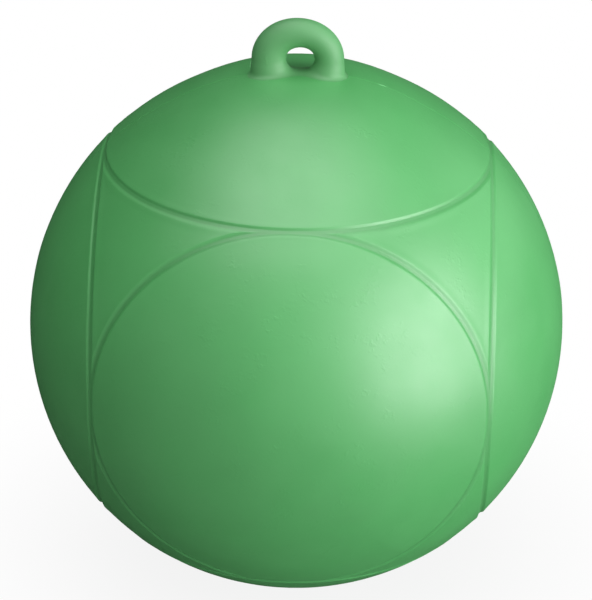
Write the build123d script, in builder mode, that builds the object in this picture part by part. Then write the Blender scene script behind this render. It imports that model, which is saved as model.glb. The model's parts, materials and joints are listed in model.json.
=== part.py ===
from build123d import *
import os
from math import cos, degrees, hypot, radians, sin, sqrt

# Slalom buoy: an inflatable vinyl ball with six ring grooves, a moulded rope eye on its crown
# and a screw valve on its far shoulder. Millimetres. The origin is the ball's centre, +Z points
# up through the rope eye, the eye's hole runs along Y, and the valve is on the +Y side.

# Ball
BALL_RADIUS = 114.3  # a 9 inch ball
WALL_THICKNESS = 2.8
GROOVE_DEPTH = 0.7
GROOVE_FLOOR_WIDTH = 2.6
GROOVE_ANGLE = 45.0  # from a ring's axis to its groove, so that neighbouring rings touch
LIP_RADIUS = 0.4  # where a panel's face turns down into a groove

# Rope eye
EYE_HOLE_RADIUS = 5.7
EYE_LEG_WIDTH = 12.95  # from the hole to the outside of a leg
EYE_TOP_WIDTH = 11.9  # from the hole to the top of the loop
EYE_THICKNESS = 11.4  # front to back
EYE_HOLE_RISE_HEIGHT = 1.6  # the hole's lowest point, above the crown
EYE_OUTER_FILLET_RADIUS = 4.8
EYE_HOLE_FILLET_RADIUS = 3.4
EYE_FOOT_FILLET_RADIUS = 2.4
STEM_MARGIN = 1.6  # crown around the eye's foot that belongs to the eye's moulding
FLANGE_LEDGE_WIDTH = 6.0  # how far the anchor flange reaches under the crown
FLANGE_THICKNESS = 3.0
PAD_MARGIN = 3.0  # crown pad outside the flange
PAD_STEP_HEIGHT = 0.8  # the pad's flat land, below the wall at the pad's edge
BOND_GAP = 0.05  # between a moulded-in piece and its hole

# Valve
VALVE_TILT = 33.0  # from +Z towards +Y
VALVE_SINK_DEPTH = 0.2  # the valve's top, below the ball at the pocket's edge
PLUG_RADIUS = 5.0
PLUG_LENGTH = 9.0  # below the head
PLUG_POINT_LENGTH = 0.8
HEAD_RADIUS = 7.2
HEAD_HEIGHT = 1.8
HEAD_FILLET_RADIUS = 0.4
SLOT_WIDTH = 1.6
SLOT_DEPTH = 1.0
WASHER_THICKNESS = 1.0
WASHER_WIDTH = 1.4
WASHER_CLEARANCE = 0.3  # between the washer and the plug
THREAD_CLEARANCE = 0.1  # between the plug and the seat
HEAD_CLEARANCE = 0.5  # around the head in its counterbore
SEAT_RIM_WIDTH = 3.5  # flange around the counterbore
SEAT_FLOOR_THICKNESS = 1.2  # flange under the counterbore
SEAT_WALL_THICKNESS = 2.6  # barrel around the plug
BARREL_LENGTH = 8.0
POCKET_CLEARANCE = 0.3  # around the seat's flange
BOSS_THICKNESS = 5.0  # wall under the pocket's floor
BOSS_WALL_THICKNESS = 4.0  # boss around the barrel

# Levels of the ball's wall, as radii
FLOOR_RADIUS = BALL_RADIUS - GROOVE_DEPTH
CAVITY_RADIUS = BALL_RADIUS - WALL_THICKNESS
WELD_RADIUS = (FLOOR_RADIUS + CAVITY_RADIUS) / 2  # raised panels and bosses root this deep
ON_BALL = GROOVE_DEPTH / 10  # an edge this near to the ball's outside is on it
CUT_PAST = WALL_THICKNESS  # how far a cut runs past the faces that it opens

# A round panel's wall is a cylinder, and a corner panel's walls are the faces of a cube
HALF_FLOOR_ANGLE = degrees(GROOVE_FLOOR_WIDTH / 2 / FLOOR_RADIUS)
PANEL_RADIUS = FLOOR_RADIUS * sin(radians(GROOVE_ANGLE - HALF_FLOOR_ANGLE))
CUBE_SIDE = 2 * FLOOR_RADIUS * cos(radians(GROOVE_ANGLE + HALF_FLOOR_ANGLE))
PANEL_TURNS = ((0, 0, 0), (90, 0, 0), (180, 0, 0), (270, 0, 0), (0, 90, 0), (0, 270, 0))

# Rope eye, from the inside out
EYE_HOLE_HEIGHT = BALL_RADIUS + EYE_HOLE_RISE_HEIGHT + EYE_HOLE_RADIUS
EYE_OUTER_RADIUS = EYE_HOLE_RADIUS + EYE_LEG_WIDTH
EYE_ARCH_HEIGHT = EYE_HOLE_HEIGHT + EYE_HOLE_RADIUS + EYE_TOP_WIDTH - EYE_OUTER_RADIUS
STEM_RADIUS = EYE_OUTER_RADIUS + EYE_FOOT_FILLET_RADIUS + STEM_MARGIN
FLANGE_RADIUS = STEM_RADIUS + FLANGE_LEDGE_WIDTH
PAD_RADIUS = FLANGE_RADIUS + PAD_MARGIN


def sphere_height(sphere_radius, reach):
    """Height above the centre of a sphere's surface, at a distance from the axis."""
    return sqrt(sphere_radius**2 - reach**2)


LAND_HEIGHT = sphere_height(CAVITY_RADIUS, PAD_RADIUS) - PAD_STEP_HEIGHT

# Valve, as distances from the ball's centre along the valve's axis
COUNTERBORE_RADIUS = HEAD_RADIUS + HEAD_CLEARANCE
SEAT_RADIUS = COUNTERBORE_RADIUS + SEAT_RIM_WIDTH
SEAT_BORE = PLUG_RADIUS + THREAD_CLEARANCE
BARREL_RADIUS = SEAT_BORE + SEAT_WALL_THICKNESS
POCKET_RADIUS = SEAT_RADIUS + POCKET_CLEARANCE
BOSS_RADIUS = max(BARREL_RADIUS + BOSS_WALL_THICKNESS, POCKET_RADIUS + WALL_THICKNESS)
VALVE_TOP = sphere_height(BALL_RADIUS, POCKET_RADIUS) - VALVE_SINK_DEPTH
HEAD_BASE = VALVE_TOP - HEAD_HEIGHT
WASHER_BASE = HEAD_BASE - WASHER_THICKNESS
POCKET_FLOOR = WASHER_BASE - SEAT_FLOOR_THICKNESS
BOSS_BASE = POCKET_FLOOR - BOSS_THICKNESS
BARREL_BASE = POCKET_FLOOR - BARREL_LENGTH
PLUG_BASE = HEAD_BASE - PLUG_LENGTH

VALVE_DIRECTION = Vector(0, sin(radians(VALVE_TILT)), cos(radians(VALVE_TILT)))
VALVE_AXIS = Axis((0, 0, 0), VALVE_DIRECTION)
# A section plane through the valve: its own X runs outwards and its own Y along the valve
VALVE_SECTION = Plane(origin=(0, 0, 0), x_dir=(1, 0, 0), z_dir=Vector(1, 0, 0).cross(VALVE_DIRECTION))


def across_valve(distance):
    """Plane across the valve's axis, at a distance from the ball's centre."""
    return Plane(origin=VALVE_DIRECTION * distance, x_dir=(1, 0, 0), z_dir=VALVE_DIRECTION)


def dome_outline(base, reach, sphere_radius):
    """Half section, from the axis outwards, of a post with a flat base and a spherical top."""
    edge_height = sphere_height(sphere_radius, reach)
    with BuildLine() as outline:
        Polyline((0, sphere_radius), (0, base), (reach, base), (reach, edge_height))
        RadiusArc((reach, edge_height), (0, sphere_radius), -sphere_radius)
    return outline.line


def clear_of_stem_edge(edge):
    """Tells the outline of the eye's foot from the stem's own edge."""
    reach = max(hypot(point.X, point.Y) for point in (edge @ 0, edge @ 0.5, edge @ 1))
    return reach < STEM_RADIUS - STEM_MARGIN


def on_ball(edge):
    """Tells an edge on the ball's outside."""
    return abs((edge @ 0.5).length - BALL_RADIUS) < ON_BALL


# One round panel, standing on +Z, with a rounded lip
with BuildPart() as round_panel:
    lip_height = sphere_height(BALL_RADIUS, PANEL_RADIUS)
    root_height = sphere_height(WELD_RADIUS, PANEL_RADIUS)
    with BuildSketch(Plane.XZ) as panel_section:
        with BuildLine():
            Line((0, WELD_RADIUS), (0, BALL_RADIUS))
            RadiusArc((0, BALL_RADIUS), (PANEL_RADIUS, lip_height), BALL_RADIUS)
            Line((PANEL_RADIUS, lip_height), (PANEL_RADIUS, root_height))
            RadiusArc((PANEL_RADIUS, root_height), (0, WELD_RADIUS), -WELD_RADIUS)
        make_face()
        lip = panel_section.vertices().group_by(Axis.X)[-1].sort_by(Axis.Y)[-1]
        fillet(lip, LIP_RADIUS)
    revolve(axis=Axis.Z)

# The eight corner panels, which a cube leaves of the ball, with rounded lips and corners
with BuildPart() as corner_panels:
    Sphere(BALL_RADIUS)
    Box(CUBE_SIDE, CUBE_SIDE, CUBE_SIDE, mode=Mode.INTERSECT)
    Sphere(WELD_RADIUS, mode=Mode.SUBTRACT)
    panel_lips = corner_panels.edges().filter_by(on_ball)
    panel_corners = corner_panels.edges().filter_by(GeomType.LINE)
    fillet(panel_lips + panel_corners, LIP_RADIUS)

# The hollow ball, with its crown pad and valve boss
with BuildPart() as ball_shell:
    Sphere(FLOOR_RADIUS)
    Sphere(CAVITY_RADIUS, mode=Mode.SUBTRACT)
    add(corner_panels.part)
    for turn in PANEL_TURNS:
        add(round_panel.part, rotation=turn)
    with BuildSketch(Plane.XZ):
        add(dome_outline(LAND_HEIGHT, PAD_RADIUS, WELD_RADIUS))
        make_face()
    revolve(axis=Axis.Z)
    with BuildSketch(VALVE_SECTION):
        add(dome_outline(BOSS_BASE, BOSS_RADIUS, WELD_RADIUS))
        make_face()
    revolve(axis=VALVE_AXIS)
    with BuildSketch(Plane.XY.offset(BALL_RADIUS + CUT_PAST)):
        Circle(STEM_RADIUS + BOND_GAP)
    extrude(amount=LAND_HEIGHT - BALL_RADIUS - 2 * CUT_PAST, mode=Mode.SUBTRACT)
    with BuildSketch(across_valve(BALL_RADIUS + CUT_PAST)):
        Circle(POCKET_RADIUS)
    extrude(amount=POCKET_FLOOR - BALL_RADIUS - CUT_PAST, mode=Mode.SUBTRACT)
    with BuildSketch(across_valve(POCKET_FLOOR + CUT_PAST)):
        Circle(BARREL_RADIUS + BOND_GAP)
    extrude(amount=-BOSS_THICKNESS - 2 * CUT_PAST, mode=Mode.SUBTRACT)

# The rope eye: a rounded loop on a stem that fills the crown, held by a flange under the pad
with BuildPart() as rope_eye:
    with BuildSketch(Plane.XZ):
        with BuildLine():
            CenterArc((0, EYE_ARCH_HEIGHT), EYE_OUTER_RADIUS, 0, 180)
            Polyline(
                (-EYE_OUTER_RADIUS, EYE_ARCH_HEIGHT),
                (-EYE_OUTER_RADIUS, LAND_HEIGHT),
                (EYE_OUTER_RADIUS, LAND_HEIGHT),
                (EYE_OUTER_RADIUS, EYE_ARCH_HEIGHT),
            )
        make_face()
        with Locations((0, EYE_HOLE_HEIGHT)):
            Circle(EYE_HOLE_RADIUS, mode=Mode.SUBTRACT)
    extrude(amount=EYE_THICKNESS / 2, both=True)
    loop_faces = rope_eye.faces().filter_by(Axis.Y)
    hole_edges = [edge for face in loop_faces for wire in face.inner_wires() for edge in wire.edges()]
    outer_edges = [edge for face in loop_faces for edge in face.outer_wire().edges().sort_by(Axis.Z)[1:]]
    fillet(outer_edges, EYE_OUTER_FILLET_RADIUS)
    fillet(hole_edges, EYE_HOLE_FILLET_RADIUS)
    with BuildSketch(Plane.XZ):
        add(dome_outline(LAND_HEIGHT, STEM_RADIUS, BALL_RADIUS))
        make_face()
    revolve(axis=Axis.Z)
    crown_face = rope_eye.faces().filter_by(GeomType.SPHERE)[0]
    fillet(crown_face.edges().filter_by(clear_of_stem_edge), EYE_FOOT_FILLET_RADIUS)
    with BuildSketch(Plane.XY.offset(LAND_HEIGHT)):
        Circle(FLANGE_RADIUS)
    extrude(amount=-FLANGE_THICKNESS)

# The valve's flanged bush
with BuildPart() as valve_seat:
    with BuildSketch(VALVE_SECTION):
        with BuildLine():
            Polyline(
                (SEAT_BORE, BARREL_BASE),
                (BARREL_RADIUS, BARREL_BASE),
                (BARREL_RADIUS, POCKET_FLOOR),
                (SEAT_RADIUS, POCKET_FLOOR),
                (SEAT_RADIUS, VALVE_TOP),
                (COUNTERBORE_RADIUS, VALVE_TOP),
                (COUNTERBORE_RADIUS, WASHER_BASE),
                (SEAT_BORE, WASHER_BASE),
                close=True,
            )
        make_face()
    revolve(axis=VALVE_AXIS)

# The sealing ring under the plug's head
with BuildPart() as valve_washer:
    washer_bore = PLUG_RADIUS + WASHER_CLEARANCE
    with BuildSketch(across_valve(WASHER_BASE)):
        Circle(washer_bore + WASHER_WIDTH)
        Circle(washer_bore, mode=Mode.SUBTRACT)
    extrude(amount=WASHER_THICKNESS)

# The slotted screw that closes the valve
with BuildPart() as valve_plug:
    with BuildSketch(across_valve(PLUG_BASE)):
        Circle(PLUG_RADIUS)
    extrude(amount=PLUG_LENGTH)
    point_edge = valve_plug.edges().sort_by(VALVE_AXIS)[0]
    chamfer(point_edge, PLUG_POINT_LENGTH)
    with BuildSketch(across_valve(HEAD_BASE)):
        Circle(HEAD_RADIUS)
    extrude(amount=HEAD_HEIGHT)
    head_edge = valve_plug.edges().filter_by(GeomType.CIRCLE).sort_by(VALVE_AXIS)[-1]
    fillet(head_edge, HEAD_FILLET_RADIUS)
    with BuildSketch(across_valve(VALVE_TOP)):
        Rectangle(2 * HEAD_RADIUS, SLOT_WIDTH)
    extrude(amount=-SLOT_DEPTH, mode=Mode.SUBTRACT)

os.makedirs("parts", exist_ok=True)
PIECES = {
    "ball_shell": ball_shell,
    "rope_eye": rope_eye,
    "valve_seat": valve_seat,
    "valve_washer": valve_washer,
    "valve_plug": valve_plug,
}
for name, piece in PIECES.items():
    piece.part.label = name
    export_step(piece.part, f"parts/{name}.step")
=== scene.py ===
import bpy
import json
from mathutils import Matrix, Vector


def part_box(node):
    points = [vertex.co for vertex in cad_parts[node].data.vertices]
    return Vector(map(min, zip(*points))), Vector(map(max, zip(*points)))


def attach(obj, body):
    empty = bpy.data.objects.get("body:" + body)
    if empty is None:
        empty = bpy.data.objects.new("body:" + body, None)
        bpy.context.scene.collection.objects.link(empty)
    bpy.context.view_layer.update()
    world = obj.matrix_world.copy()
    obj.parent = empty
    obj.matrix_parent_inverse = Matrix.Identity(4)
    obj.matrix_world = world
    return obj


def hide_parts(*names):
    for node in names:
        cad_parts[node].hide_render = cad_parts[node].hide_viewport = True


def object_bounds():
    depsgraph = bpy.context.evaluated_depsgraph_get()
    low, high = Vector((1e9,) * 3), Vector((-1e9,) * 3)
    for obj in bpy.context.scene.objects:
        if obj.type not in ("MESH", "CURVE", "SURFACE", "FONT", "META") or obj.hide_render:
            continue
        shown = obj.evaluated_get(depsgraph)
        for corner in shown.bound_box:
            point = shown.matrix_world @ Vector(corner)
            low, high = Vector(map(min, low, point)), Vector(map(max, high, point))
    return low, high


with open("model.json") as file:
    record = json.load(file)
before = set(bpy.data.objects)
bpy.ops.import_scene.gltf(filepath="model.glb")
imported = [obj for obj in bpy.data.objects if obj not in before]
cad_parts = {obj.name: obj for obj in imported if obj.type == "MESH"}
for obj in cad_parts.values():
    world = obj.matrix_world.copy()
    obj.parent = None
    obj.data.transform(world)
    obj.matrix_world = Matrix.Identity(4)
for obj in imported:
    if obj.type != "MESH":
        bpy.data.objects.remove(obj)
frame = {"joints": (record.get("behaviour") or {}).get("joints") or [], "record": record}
CAD_BOX = [list(corner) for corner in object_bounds()]

import itertools
import json
import math

import bmesh
import bpy
import numpy as np
from bpy.props import FloatProperty, FloatVectorProperty, PointerProperty
from mathutils import Matrix, Vector

bl_info = {
    "name": "Slalom buoy",
    "version": (1, 0, 0),
    "blender": (4, 5, 0),
    "location": "3D View > Sidebar > Buoy",
    "description": "Builds the looks of an inflatable slalom buoy around its packed solids",
    "category": "Object",
}

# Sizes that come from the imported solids, in metres. The ball's centre is the origin.
BALL_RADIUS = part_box("ball_shell")[1].x
EYE_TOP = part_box("rope_eye")[1].z
ROPE_HOLE = next(mount for mount in frame["record"]["mounts"] if mount["name"] == "rope_hole")
HOLE_HEIGHT = ROPE_HOLE["pos_m"][2]
HOLE_RADIUS = ROPE_HOLE["dims"]["r_mm"] / 1000
LIFT = next(joint for joint in frame["joints"] if joint["name"] == "plug_lift")
TURN = next(joint for joint in frame["joints"] if joint["name"] == "plug_turn")
VALVE_AXIS = Vector(LIFT["axis"]).normalized()
HEAD_BASE = Vector(TURN["pos_m"]).dot(VALVE_AXIS)
COUPLING = frame["record"]["behaviour"]["couplings"][0]
THREAD_PITCH = 2 * math.pi / COUPLING["ratio"]

# The six ring grooves: each circle stands this far from its own axis, so that neighbours touch
RING_ANGLE = math.radians(45)
FLOOR_ROWS = 2
WALL_ROWS = 10
LIP_ROWS = 5
CORNER_COLUMNS = 12
PANEL_ROWS = 18
WELD_DISTANCE = 1e-5

# Slow waves in the ball's wall, and the heights on the unit ball between which they fade
WAVE_SCALE = 2.6
CALM_POLES = (0.94, 0.98)

# Fineness of the other meshes
EYE_CELL = 0.00045
SKIN_PULLS = 3
SLOPE_PARTS = 50  # a slope is measured over this part of a cell
SEAM_SPACING = 0.0006
TURNED_COLUMNS = 96
TURNED_ANGLES = np.linspace(0, 2 * math.pi, TURNED_COLUMNS, endpoint=False)
THREAD_ROW = 0.00011

# A thread's tooth rises by this many depths in a pitch, from this share of a depth under its root
TOOTH_STEEPNESS = 2.6
TOOTH_ROOT = 0.3

# Edges that bend by more than this stay sharp, on the valve and around its pocket
CRISP_ANGLE = math.radians(40)
POCKET_CRISP_ANGLE = math.radians(32)

# Least values, which keep a division from failing
TINY = 1e-6
TINY_LENGTH = 1e-9
LEAST_STEEPNESS = 0.25

# Most of a noise lies between these values
NOISE_SPAN = (0.3, 0.7)

# Finish of the vinyl: patches and pits show between these values of their noise
VINYL_IOR = 1.62
# Painted shade: the vinyl's colour falls to this share of itself on the groove floors
GROOVE_PAINTED_SHADE = 0.83
PATCH_SPAN = (0.44, 0.76)
PIT_SPAN = (0.48, 0.74)
PIT_DEPTH = 0.0001
FLASH_PAINTED_LIGHT = (1.0, 5.0)  # strengths between which the flash turns from the vinyl's colour to a paler colour, painted light for light through the thin flash

# The photograph's frame and the camera that fits it
PHOTO_HEIGHT = 600
PHOTO_CENTRE = (296.0, 300.0)
BALL_CENTRE_PIXEL = (296.28, 321.64)
SENSOR_SIDE = 36.0


class BallSettings(bpy.types.PropertyGroup):
    """Shape of the moulded ball."""

    groove_depth: FloatProperty(
        name="Groove depth",
        description="How far a ring groove's floor lies under the ball's face, halfway up",
        default=0.0005, min=0.0001, max=0.003, precision=5, unit="LENGTH",
    )
    groove_gain: FloatProperty(
        name="Groove gain",
        description="Share by which the grooves are deeper at the ball's foot and shallower at its top",
        default=0.3, min=0.0, max=0.9, subtype="FACTOR",
    )
    groove_floor: FloatProperty(
        name="Groove floor",
        description="Width of a ring groove's floor",
        default=0.0008, min=0.0002, max=0.008, precision=5, unit="LENGTH",
    )
    inner_wall: FloatProperty(
        name="Inner wall",
        description="Width over which a round panel's edge drops to the groove's floor",
        default=0.0014, min=0.0004, max=0.004, precision=5, unit="LENGTH",
    )
    outer_wall: FloatProperty(
        name="Outer wall",
        description="Width over which a corner panel's edge drops to the groove's floor",
        default=0.0020, min=0.0004, max=0.004, precision=5, unit="LENGTH",
    )
    lip_rise: FloatProperty(
        name="Lip rise",
        description="Height of the swelling along a round panel's edge",
        default=0.00010, min=0.0, max=0.0005, precision=6, unit="LENGTH",
    )
    outer_lip: FloatProperty(
        name="Outer lip",
        description="Height of the swelling along a corner panel's edge",
        default=0.00016, min=0.0, max=0.0005, precision=6, unit="LENGTH",
    )
    lip_reach: FloatProperty(
        name="Lip reach",
        description="Distance over which a swelling fades",
        default=0.0026, min=0.0005, max=0.01, precision=5, unit="LENGTH",
    )
    crest_height: FloatProperty(
        name="Parting crest",
        description="How far the two mould halves rise towards their parting line",
        default=0.00012, min=0.0, max=0.001, precision=5, unit="LENGTH",
    )
    crest_reach: FloatProperty(
        name="Crest reach",
        description="Distance over which the parting crest fades",
        default=0.0045, min=0.0005, max=0.02, precision=5, unit="LENGTH",
    )
    crown_rise: FloatProperty(
        name="Crown rise",
        description="How far the thick crown around the rope eye stands above the ball's round",
        default=0.0016, min=0.0, max=0.005, precision=5, unit="LENGTH",
    )
    crown_inner: FloatProperty(
        name="Crown flat",
        description="Angle from the top within which the crown keeps its full rise",
        default=math.radians(12), subtype="ANGLE", unit="ROTATION",
    )
    crown_outer: FloatProperty(
        name="Crown edge",
        description="Angle from the top at which the crown's rise has faded",
        default=math.radians(31), subtype="ANGLE", unit="ROTATION",
    )
    unevenness: FloatProperty(
        name="Unevenness",
        description="Height of the slow waves in the inflated wall",
        default=0.00005, min=0.0, max=0.0005, precision=6, unit="LENGTH",
    )
    pocket_radius: FloatProperty(
        name="Valve pocket",
        description="Radius of the pocket that holds the valve's bush",
        default=0.0115, min=0.005, max=0.02, precision=5, unit="LENGTH",
    )
    pocket_depth: FloatProperty(
        name="Pocket depth",
        description="From the underside of the screw's head down to the pocket's floor",
        default=0.0022, min=0.0005, max=0.01, precision=5, unit="LENGTH",
    )
    pocket_lip: FloatProperty(
        name="Pocket lip",
        description="Width of the bevel around the pocket",
        default=0.0005, min=0.0, max=0.002, precision=5, unit="LENGTH",
    )


class EyeSettings(bpy.types.PropertyGroup):
    """Shape of the rope eye."""

    half_width: FloatProperty(
        name="Half width",
        description="From the eye's middle to the outer side of a leg",
        default=0.0190, min=0.01, max=0.03, precision=5, unit="LENGTH",
    )
    thickness: FloatProperty(
        name="Thickness",
        description="Thickness of the loop, front to back",
        default=0.0110, min=0.005, max=0.02, precision=5, unit="LENGTH",
    )
    loop_shift: FloatProperty(
        name="Loop shift",
        description="How far the loop's outside sits to the right of the ball's middle",
        default=-0.00040, min=-0.002, max=0.002, precision=5, unit="LENGTH",
    )
    hole_shift: FloatProperty(
        name="Hole shift",
        description="How far the rope hole's edge sits to the right of the ball's middle",
        default=0.00060, min=-0.002, max=0.002, precision=5, unit="LENGTH",
    )
    hole_stretch: FloatProperty(
        name="Hole stretch",
        description="How much further than a full round the rope hole reaches to each side",
        default=0.00025, min=0.0, max=0.002, precision=5, unit="LENGTH",
    )
    hole_sag: FloatProperty(
        name="Hole sag",
        description="How far the rope hole's top lies under a full round",
        default=0.00060, min=0.0, max=0.002, precision=5, unit="LENGTH",
    )
    top_sag: FloatProperty(
        name="Top sag",
        description="How far the loop's top lies under the packed solid's",
        default=0.00030, min=0.0, max=0.002, precision=5, unit="LENGTH",
    )
    saddle_blend: FloatProperty(
        name="Saddle blend",
        description="Softness where the ring under the hole runs into the legs",
        default=0.0030, min=0.0005, max=0.008, precision=5, unit="LENGTH",
    )
    foot_blend: FloatProperty(
        name="Foot blend",
        description="Softness of the fillet between the loop and the ball",
        default=0.0026, min=0.0005, max=0.008, precision=5, unit="LENGTH",
    )


class SeamSettings(bpy.types.PropertyGroup):
    """The flash line that the mould leaves around the ball and over the eye."""

    height: FloatProperty(
        name="Height",
        description="How far the flash line stands proud",
        default=0.00005, min=0.00002, max=0.001, precision=6, unit="LENGTH",
    )
    width: FloatProperty(
        name="Width",
        description="Width of the flash line",
        default=0.0004, min=0.0001, max=0.002, precision=6, unit="LENGTH",
    )
    hole_height: FloatProperty(
        name="Height in the hole",
        description="How far the trimmed flash stands into the rope hole",
        default=0.00012, min=0.00002, max=0.001, precision=6, unit="LENGTH",
    )
    fin_height: FloatProperty(
        name="Fin height",
        description="Height of the bit of flash that is left on one leg of the eye",
        default=0.00045, min=0.00002, max=0.002, precision=6, unit="LENGTH",
    )


class ValveSettings(bpy.types.PropertyGroup):
    """Sizes of the screw valve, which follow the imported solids."""

    head_radius: FloatProperty(
        name="Head radius", description="Radius of the screw's head",
        default=0.0072, min=0.004, max=0.02, precision=5, unit="LENGTH",
    )
    head_height: FloatProperty(
        name="Head height", description="Height of the screw's head",
        default=0.0018, min=0.0005, max=0.005, precision=5, unit="LENGTH",
    )
    slot_width: FloatProperty(
        name="Slot width", description="Width of the slot across the head",
        default=0.0016, min=0.0005, max=0.004, precision=5, unit="LENGTH",
    )
    slot_depth: FloatProperty(
        name="Slot depth", description="Depth of the slot across the head",
        default=0.0010, min=0.0002, max=0.003, precision=5, unit="LENGTH",
    )
    plug_radius: FloatProperty(
        name="Thread radius", description="Outer radius of the screw's thread",
        default=0.00495, min=0.002, max=0.01, precision=5, unit="LENGTH",
    )
    plug_length: FloatProperty(
        name="Screw length", description="Length of the screw below its head",
        default=0.0090, min=0.003, max=0.02, precision=5, unit="LENGTH",
    )
    thread_depth: FloatProperty(
        name="Thread depth", description="Depth of the screw's thread",
        default=0.00075, min=0.0001, max=0.002, precision=5, unit="LENGTH",
    )
    thread_gap: FloatProperty(
        name="Thread gap", description="Room between the screw's thread and the bush's",
        default=0.00015, min=0.00002, max=0.001, precision=5, unit="LENGTH",
    )
    washer_bore: FloatProperty(
        name="Washer bore", description="Inner radius of the sealing washer",
        default=0.0053, min=0.002, max=0.01, precision=5, unit="LENGTH",
    )
    washer_width: FloatProperty(
        name="Washer width", description="Width of the sealing washer's ring",
        default=0.0014, min=0.0005, max=0.004, precision=5, unit="LENGTH",
    )
    washer_thickness: FloatProperty(
        name="Washer thickness", description="Thickness of the sealing washer",
        default=0.0010, min=0.0003, max=0.003, precision=5, unit="LENGTH",
    )
    bush_radius: FloatProperty(
        name="Bush radius", description="Radius of the bush's flange",
        default=0.0112, min=0.006, max=0.02, precision=5, unit="LENGTH",
    )
    counterbore_radius: FloatProperty(
        name="Counterbore radius", description="Radius of the recess that the head lies in",
        default=0.0077, min=0.004, max=0.02, precision=5, unit="LENGTH",
    )
    bush_floor: FloatProperty(
        name="Bush floor", description="Thickness of the flange under the washer",
        default=0.0012, min=0.0003, max=0.004, precision=5, unit="LENGTH",
    )
    barrel_radius: FloatProperty(
        name="Barrel radius", description="Outer radius of the bush's barrel",
        default=0.0077, min=0.004, max=0.02, precision=5, unit="LENGTH",
    )
    barrel_length: FloatProperty(
        name="Barrel length", description="Length of the bush's barrel under its flange",
        default=0.0080, min=0.002, max=0.02, precision=5, unit="LENGTH",
    )
    edge_radius: FloatProperty(
        name="Edge radius", description="Radius of the valve's moulded edges",
        default=0.0004, min=0.00005, max=0.001, precision=6, unit="LENGTH",
    )


class FinishSettings(bpy.types.PropertyGroup):
    """Colours and gloss of the materials."""

    vinyl_colour: FloatVectorProperty(
        name="Vinyl", description="Colour of the moulded vinyl",
        default=(0.085, 0.42, 0.118), min=0.0, max=1.0, size=3, subtype="COLOR",
    )
    vinyl_roughness: FloatProperty(
        name="Vinyl roughness", description="Mean roughness of the satin vinyl",
        default=0.46, min=0.05, max=1.0, subtype="FACTOR",
    )
    eye_colour: FloatVectorProperty(
        name="Eye", description="Colour of the eye's vinyl",
        default=(0.088, 0.35, 0.112), min=0.0, max=1.0, size=3, subtype="COLOR",
    )
    # Painted light: the flash's paler colour stands in for light shining through the thin flash
    flash_painted_light_colour: FloatVectorProperty(
        name="Flash", description="Colour of thin, proud bits of flash",
        default=(0.30, 0.80, 0.36), min=0.0, max=1.0, size=3, subtype="COLOR",
    )
    eye_roughness: FloatProperty(
        name="Eye roughness", description="Mean roughness of the duller eye",
        default=0.62, min=0.05, max=1.0, subtype="FACTOR",
    )
    plastic_colour: FloatVectorProperty(
        name="Valve plastic", description="Colour of the valve's moulded plastic",
        default=(0.020, 0.020, 0.022), min=0.0, max=1.0, size=3, subtype="COLOR",
    )
    rubber_colour: FloatVectorProperty(
        name="Washer rubber", description="Colour of the sealing washer",
        default=(0.012, 0.012, 0.012), min=0.0, max=1.0, size=3, subtype="COLOR",
    )


class StageSettings(bpy.types.PropertyGroup):
    """Floor, lamps and camera."""

    camera_distance: FloatProperty(
        name="Camera distance", description="From the ball's centre to the camera",
        default=1.1144, min=0.3, max=10.0, unit="LENGTH",
    )
    camera_turn: FloatProperty(
        name="Camera turn", description="Camera's angle to the right of the front",
        default=math.radians(1.8), subtype="ANGLE", unit="ROTATION",
    )
    camera_rise: FloatProperty(
        name="Camera rise", description="Camera's angle above the horizon",
        default=math.radians(27.24), subtype="ANGLE", unit="ROTATION",
    )
    camera_roll: FloatProperty(
        name="Camera roll", description="Camera's turn about its own view",
        default=math.radians(0.55), subtype="ANGLE", unit="ROTATION",
    )
    lens: FloatProperty(
        name="Lens", description="Focal length in millimetres for a 36 mm sensor",
        default=154.86, min=20.0, max=400.0, unit="CAMERA",
    )
    key_power: FloatProperty(
        name="Key power", description="Power of the tall soft lamp on the right",
        default=19.8, min=0.0, max=500.0, unit="POWER",
    )
    top_power: FloatProperty(
        name="Top power", description="Power of the broad soft lamp overhead",
        default=10.2, min=0.0, max=500.0, unit="POWER",
    )
    front_power: FloatProperty(
        name="Front power", description="Power of the soft lamp between the camera and the key lamp",
        default=2.2, min=0.0, max=500.0, unit="POWER",
    )
    rim_power: FloatProperty(
        name="Rim power", description="Power of the weak soft lamp behind, on the right",
        default=1.9, min=0.0, max=500.0, unit="POWER",
    )
    fill_power: FloatProperty(
        name="Fill power", description="Power of the weak broad lamp on the left of the camera",
        default=3.8, min=0.0, max=500.0, unit="POWER",
    )
    room_light: FloatProperty(
        name="Room light", description="Strength of the even light from all around",
        default=0.04, min=0.0, max=1.0, subtype="FACTOR",
    )


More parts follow.
